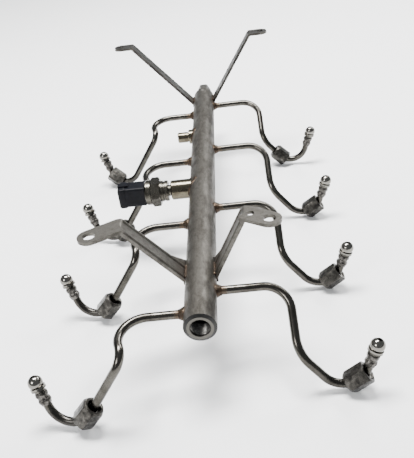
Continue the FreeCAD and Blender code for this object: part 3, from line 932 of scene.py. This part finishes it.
@dataclass
class FeedPipes:
    """The eight bent pipes with their ball noses and the sleeves behind them."""

    neck_end: float = 6.3 * MM
    outlet: float = 5.6 * MM
    sleeve_out: float = 4.4 * MM
    sleeve_long: float = 10 * MM
    sleeve_lump: float = 0.15 * MM
    grip: float = TUBE_RADIUS + 0.06 * MM

    def dress(self) -> None:
        """Finish each pipe: drawn tube, polished nose, smoke-dark end, painted shade in the outlet's mouth."""
        for side in Side:
            nose = MOUNTS["nose_%s_1" % side.word]
            ball = Vector(nose["pos_m"])
            bore = ball + Vector(nose["axis"]).normalized() * self.outlet
            smoke = 0.75 if side is Side.LEFT else 0.45
            marks = (
                NearRow(colour=(0.07, 0.05, 0.035), gloss=0.45, strength=0.8, inner=5 * MM,
                        outer=9 * MM, ragged=4 * MM,
                        centre=Vector((side.value * RAIL_RADIUS, side.first_feed, 0))),
                Slab(colour=(0.03, 0.028, 0.026), gloss=0.3, strength=smoke, axis=2,
                     high=-46 * MM, soft=10 * MM, ragged=8 * MM),
                NearRow(colour=(0.17, 0.162, 0.146), gloss=0.15, inner=6.2 * MM,
                        outer=6.9 * MM, centre=ball),
                # painted shade: a near-black spot where the outlet bore opens on each ball nose
                NearRow(colour=(0.01, 0.01, 0.01), gloss=0.6, inner=1.5 * MM,
                        outer=1.75 * MM, centre=bore),
            )
            tube = Steel("pipe_%s" % side.word, light=(0.1, 0.094, 0.083),
                         dark=(0.026, 0.024, 0.02), gloss=(0.16, 0.27), patch=14 * MM,
                         contrast=0.9, grain=0.8 * MM, depth=0.03 * MM, marks=marks).make()
            dress(["feed_pipe_%s_%d" % (side.word, number) for number in NUMBERS], tube)

    def sleeves(self) -> None:
        """Model the crimped sleeve behind each nose and place its copies."""
        skin = ((0.85, 0.0), (0.35, 0.035), (0.0, 0.11), (0.0, 0.26), (0.3, 0.33), (0.75, 0.38),
                (0.75, 0.5), (0.25, 0.56), (0.05, 0.64), (0.05, 0.76), (0.6, 0.83), (0.75, 0.9),
                (1.0, 1.0))
        outline = [(self.sleeve_out - inset * MM, share * self.sleeve_long)
                   for inset, share in skin]
        outline = [(self.grip, 0.0)] + outline + [(self.grip, self.sleeve_long)]
        pattern = Bench.turned("sleeve_pattern", outline, sides=36)
        Bench.modify(pattern, "SUBSURF", levels=1, render_levels=1)
        steel = Steel("sleeve_steel", light=(0.13, 0.122, 0.112), dark=(0.016, 0.015, 0.014),
                      gloss=(0.22, 0.45), patch=1.9 * MM, contrast=1.4, grain=0.5 * MM,
                      pit=1.0 * MM, depth=0.2 * MM).make()
        for place, (side, number) in enumerate(FEEDS):
            nose = MOUNTS["nose_%s_%d" % (side.word, number)]
            back = -Vector(nose["axis"]).normalized()
            sleeve = Bench.copy(pattern, "sleeve_%s_%d" % (side.word, number))
            Bench.roughen(sleeve, 1.6 * MM, 0.55 * MM, seed=0.015 * (place + 1))
            self.keep_clear(sleeve)
            Bench.settle(sleeve, along(Vector(nose["pos_m"]) + back * self.neck_end, back))
            Bench.hand_in(Bench.smooth(sleeve, 60), "rail", steel, "sleeve_steel",
                          ["thrust_sleeve_%s_%d" % (side.word, number)])
        bpy.data.objects.remove(pattern)

    def keep_clear(self, sleeve: bpy.types.Object) -> None:
        """Press back what the lumps pushed into the pipe or past the sleeve's own size.

        Args:
            sleeve: The sleeve, still about its own Z axis.
        """
        widest = self.sleeve_out + self.sleeve_lump
        for vertex in sleeve.data.vertices:
            radius = math.hypot(vertex.co.x, vertex.co.y)
            share = min(max(radius, self.grip), widest) / radius
            vertex.co.x, vertex.co.y = vertex.co.x * share, vertex.co.y * share
            vertex.co.z = min(max(vertex.co.z, 0.0), self.sleeve_long)


@dataclass
class UnionNuts:
    """The eight loose hexagon nuts, with worn corners and a cut thread."""

    flat: float = 7.0 * MM
    length: float = 16 * MM
    hole: float = 4.8 * MM
    hole_deep: float = 4.2 * MM
    thread: float = 5.4 * MM
    bevel: float = 2.6 * MM
    pitch: float = 1.5 * MM
    ridge: float = 0.45 * MM
    run_in: float = 1.3 * MM
    run_out: float = 1.1 * MM

    def pattern(self) -> bpy.types.Object:
        """Model one nut about Z, its thread mouth upwards.

        Returns:
            The nut.
        """
        crown = self.flat * 2 / math.sqrt(3)
        nut = Bench.cylinder("nut_pattern", crown, 0, self.length, sides=6)
        Bench.settle(nut, Matrix.Rotation(math.radians(30), 4, "Z"))
        Bench.soften(nut, 0.35 * MM, 2)
        outer = Bench.turned("nut_envelope", [
            (0.5 * MM, 0), (self.flat - 0.65 * MM, 0), (self.flat + 0.1 * MM, self.bevel * 0.42),
            (crown + 0.05 * MM, self.bevel), (crown + 0.05 * MM, self.length - 0.9 * MM),
            (self.flat + 0.3 * MM, self.length), (0.5 * MM, self.length)], sides=72)
        Bench.carve(nut, outer, "INTERSECT")
        mouth = self.thread + 0.7 * MM
        bore = Bench.turned("nut_bore", [
            (0.3 * MM, -1 * MM), (self.hole + 0.5 * MM, -1 * MM), (self.hole + 0.5 * MM, 0.0),
            (self.hole, 0.5 * MM), (self.hole, self.hole_deep),
            (self.thread, self.hole_deep + 0.6 * MM), (self.thread, self.length - 0.7 * MM),
            (mouth, self.length), (mouth, self.length + 1 * MM),
            (0.3 * MM, self.length + 1 * MM)], sides=56)
        Bench.carve(nut, bore, "DIFFERENCE")
        Bench.soften(nut, 0.22 * MM, 2, 35)
        return Bench.smooth(nut, 32)

    def place(self) -> None:
        """Set a copy of the nut and of its thread on each pipe."""
        steel = Steel("nut_steel", light=(0.08, 0.075, 0.067), dark=(0.01, 0.0095, 0.0085),
                      gloss=(0.26, 0.44), patch=3.5 * MM, contrast=1.3, grain=0.5 * MM,
                      pit=1.7 * MM, depth=0.2 * MM, metal=0.95).make()
        bright = Steel("nut_thread_steel", light=(0.2, 0.19, 0.175), dark=(0.04, 0.038, 0.036),
                       gloss=(0.26, 0.4), patch=2.5 * MM).make()
        nut = self.pattern()
        threaded = self.length - self.hole_deep - self.run_in - self.run_out
        turns = int(threaded / self.pitch)
        ridge = helix("thread_pattern", self.thread, self.pitch, self.ridge, turns)
        for joint in frame["joints"]:
            body = joint["child"]
            tag = body.replace("nut_", "")
            axis = Vector(joint["axis"]).normalized()
            seat = along(Vector(joint["pos_m"]) - axis * self.length / 2, axis)
            piece = Bench.settle(Bench.copy(nut, "hex_nut_" + tag), seat)
            Bench.hand_in(piece, body, steel, "nut_steel", ["union_nut_" + tag])
            lift = Matrix.Translation((0, 0, self.hole_deep + self.run_in))
            cut = Bench.settle(Bench.copy(ridge, "nut_thread_" + tag), seat @ lift)
            Bench.hand_in(cut, body, bright, "nut_steel")
        bpy.data.objects.remove(nut)
        bpy.data.objects.remove(ridge)


# ------------------------------------------------------------------------------- brackets and stays


@dataclass
class Strips:
    """The two pressed front brackets and the two rear stays."""

    front: float = 57.5 * MM
    rear: float = 387.5 * MM
    wide: float = 16 * MM
    narrow: float = 14 * MM
    edges: tuple[tuple[str, float], ...] = (("lower", -0.1), ("upper", 0.42))
    bead_share: float = 0.95
    seed: float = 0.01

    def dress(self) -> None:
        """Finish the strips."""
        soot = tuple(
            NearRow(colour=(0.06, 0.05, 0.042), gloss=0.5, strength=0.75, pitch=4.0,
                    inner=13 * MM, outer=24 * MM, ragged=8 * MM, centre=Vector((0, place, 0)))
            for place in (self.front, self.rear))
        bracket = Steel("bracket_steel", light=(0.14, 0.132, 0.117), dark=(0.045, 0.041, 0.035),
                        gloss=(0.34, 0.5), patch=6 * MM, contrast=0.9, grain=0.7 * MM,
                        pit=1.2 * MM, depth=0.08 * MM, metal=0.9, marks=soot[:1]).make()
        dress(["front_bracket_left", "front_bracket_right"], bracket)
        stay = Steel("stay_steel", light=(0.08, 0.075, 0.067), dark=(0.02, 0.0185, 0.0165),
                     gloss=(0.32, 0.5), patch=7 * MM, grain=0.7 * MM, depth=0.08 * MM, metal=0.9,
                     marks=soot[1:]).make()
        dress(["rear_stay_left", "rear_stay_right"], stay)

    def welds(self, welds: Welds) -> None:
        """Lay the welds at the strips' feet.

        Args:
            welds: The welder.
        """
        feet = (("bracket", self.front, self.wide), ("stay", self.rear, self.narrow))
        for side, (word, place, wide), (level, angle) in product(Side, feet, self.edges):
            centre = Vector((side.value * math.cos(angle), 0, math.sin(angle))) * RAIL_RADIUS
            centre.y = place
            name = "bead_%s_%s_%s" % (word, side.word, level)
            welds.strip_bead(name, centre, wide * self.bead_share, self.seed + abs(angle))


# ------------------------------------------------------------------------------ the pressure sensor


@dataclass
class Sensor:
    """The boss, the pressure sensor screwed into it and its connector."""

    wide: float = 15.5 * MM
    tall: float = 17.5 * MM
    collar_long: float = 6.5 * MM
    collar_proud: float = 0.5 * MM
    collar_back: float = 0.2 * MM
    collar_round: float = 1.6 * MM
    collar_walls: float = 3.4 * MM

    def dress(self) -> None:
        """Finish the metal, the connector and what is inside."""
        gold = Steel("boss_nickel", light=(0.16, 0.142, 0.103), dark=(0.045, 0.038, 0.027),
                     gloss=(0.14, 0.27), patch=7 * MM, depth=0.03 * MM,
                     stretch=(1.0, 2.2, 2.2)).make()
        satin = Steel("sensor_satin", light=(0.11, 0.103, 0.086), dark=(0.02, 0.018, 0.015),
                      gloss=(0.2, 0.36), patch=4 * MM, depth=0.05 * MM).make()
        dress(["sensor_boss", "inlet_stub"], gold)
        dress(["sensor_body", "sensor_crimp_ring", "sensor_diaphragm"], satin)
        plastic = Moulded("connector_plastic", colour=(0.0006, 0.0007, 0.002),
                          worn=(0.002, 0.0024, 0.005), gloss=0.46).make()
        laminate = Moulded("board_laminate", colour=(0.03, 0.12, 0.07),
                           worn=(0.05, 0.16, 0.09), gloss=0.5).make()
        rubber = Moulded("seal_rubber", colour=(0.01, 0.01, 0.01),
                         worn=(0.02, 0.02, 0.02), gloss=0.7).make()
        dress(["sensor_housing"], plastic)
        dress(["sensor_board"], laminate)
        dress(["sensor_seal_ring"], rubber)
        brass = Steel("terminal_brass", light=(0.62, 0.45, 0.2), dark=(0.45, 0.32, 0.14),
                      gloss=(0.2, 0.32), patch=2 * MM, depth=0.02 * MM).make()
        dress(["sensor_terminal_%d" % number for number in (1, 2, 3)], brass)
        self.collar(plastic)

    def collar(self, plastic: bpy.types.Material) -> None:
        """Model the thicker collar round the connector's mouth.

        Args:
            plastic: The housing's own finish.
        """
        low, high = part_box("sensor_housing")
        centre = (low + high) / 2
        Bench.clear()
        long, grow, shrink = self.collar_long, 2 * self.collar_proud, self.collar_walls
        bpy.ops.mesh.primitive_cube_add(
            size=1, location=(low.x + self.collar_back + long / 2, centre.y, 0))
        band = Bench.named("connector_collar")
        band.scale = (long, self.wide + grow, self.tall + grow)
        Bench.settle(band)
        Bench.soften(band, self.collar_round, 4, 60)
        bpy.ops.mesh.primitive_cube_add(size=1, location=(low.x + long / 2, centre.y, 0))
        hollow = Bench.named("collar_hollow")
        hollow.scale = (2 * long, self.wide - shrink, self.tall - shrink)
        Bench.settle(hollow)
        Bench.carve(band, hollow, "DIFFERENCE")
        Bench.soften(band, 0.3 * MM, 2, 50)
        Bench.hand_in(Bench.smooth(band, 30), "rail", plastic, "connector_plastic")


# ----------------------------------------------------------------------------- floor, light, camera


@dataclass
class Studio:
    """A white table, soft light and the camera."""

    spot: Vector = field(default_factory=lambda: Vector((0.03836, -0.3282, 0.27342)))
    pitch: float = 31.422
    yaw: float = -4.398
    roll: float = -8.136
    lens: float = 53.149
    sensor: float = 36.0
    table_size: float = 14.0
    table_gap: float = 0.3 * MM
    rows_apart: float = 0.18
    room_light: float = 0.42

    def table(self) -> None:
        """Lay the table so that it touches the nuts of both rows."""
        lows = {side: min(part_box("union_nut_%s_%d" % (side.word, number))[0].z
                          for number in NUMBERS) for side in Side}
        slope = math.atan2(lows[Side.RIGHT] - lows[Side.LEFT], self.rows_apart)
        level = sum(lows.values()) / len(lows) - self.table_gap
        Bench.clear()
        bpy.ops.mesh.primitive_plane_add(size=self.table_size, location=(0, 0, level),
                                         rotation=(0, -slope, 0))
        top = Bench.settle(Bench.named("table_top"))
        shader = Shader("table_white")
        white = shader.blend(shader.noise(0.4, detail=2.0), (0.93, 0.93, 0.93), (0.95, 0.95, 0.95))
        top.data.materials.append(shader.finish(Base_Color=white, Roughness=0.85))

    @staticmethod
    def lamp(name: str, place: Vector, size: Pair, power: float, target: Vector) -> None:
        """Hang one soft light.

        Args:
            name: Name of the light.
            place: Where it hangs.
            size: Its width and height.
            power: Its power in watts.
            target: What it shines at.
        """
        light = bpy.data.lights.new(name, "AREA")
        light.shape, light.size, light.size_y, light.energy = "RECTANGLE", size[0], size[1], power
        lamp = bpy.data.objects.new(name, light)
        lamp.location = place
        lamp.rotation_euler = (target - place).to_track_quat("-Z", "Y").to_euler()
        bpy.context.scene.collection.objects.link(lamp)

    def lights(self) -> None:
        """Light the table evenly from above, with a room that is dimmer than the table."""
        world = bpy.data.worlds.new("room")
        bpy.context.scene.world = world
        world.use_nodes = True
        room = world.node_tree.nodes["Background"].inputs
        room["Color"].default_value = (0.9, 0.95, 1.0, 1.0)
        room["Strength"].default_value = self.room_light
        middle = Vector((0, 0.2, -0.02))
        self.lamp("overhead", Vector((-0.1, 0.45, 1.5)), (0.9, 0.45), 84, middle)
        self.lamp("window", Vector((0.8, 1.2, 1.0)), (0.9, 0.3), 26, middle)
        self.lamp("front_fill", Vector((-0.9, -0.9, 0.9)), (0.5, 0.5), 16, middle)

    def camera(self) -> None:
        """Stand the camera over the rail's front end."""
        pitch, yaw, roll = (math.radians(angle) for angle in (self.pitch, self.yaw, self.roll))
        ahead = Vector((math.sin(yaw) * math.cos(pitch), math.cos(yaw) * math.cos(pitch),
                        -math.sin(pitch)))
        level = Vector((math.cos(yaw), -math.sin(yaw), 0))
        over = level.cross(ahead)
        right = level * math.cos(roll) + over * math.sin(roll)
        up = over * math.cos(roll) - level * math.sin(roll)
        data = bpy.data.cameras.new("camera")
        data.lens, data.sensor_width = self.lens, self.sensor
        data.clip_start, data.clip_end = 0.01, 50.0
        camera = bpy.data.objects.new("camera", data)
        camera.matrix_world = (Matrix.Translation(self.spot)
                               @ Matrix((right, up, -ahead)).transposed().to_4x4())
        bpy.context.scene.collection.objects.link(camera)
        bpy.context.scene.camera = camera


def main() -> None:
    """Build and dress everything in order."""
    logging.basicConfig(level=logging.INFO, format="%(name)s: %(message)s")
    rail, welds, pipes, strips, studio = Rail(), Welds(), FeedPipes(), Strips(), Studio()
    for step in (rail.dress, rail.thread, rail.stamp, welds.pipe_beads, welds.boss_beads,
                 pipes.dress, pipes.sleeves, UnionNuts().place, strips.dress):
        step()
    strips.welds(welds)
    Sensor().dress()
    for step in (studio.table, studio.lights, studio.camera):
        step()
    Bench.clear()


if __name__ == "__main__":
    main()
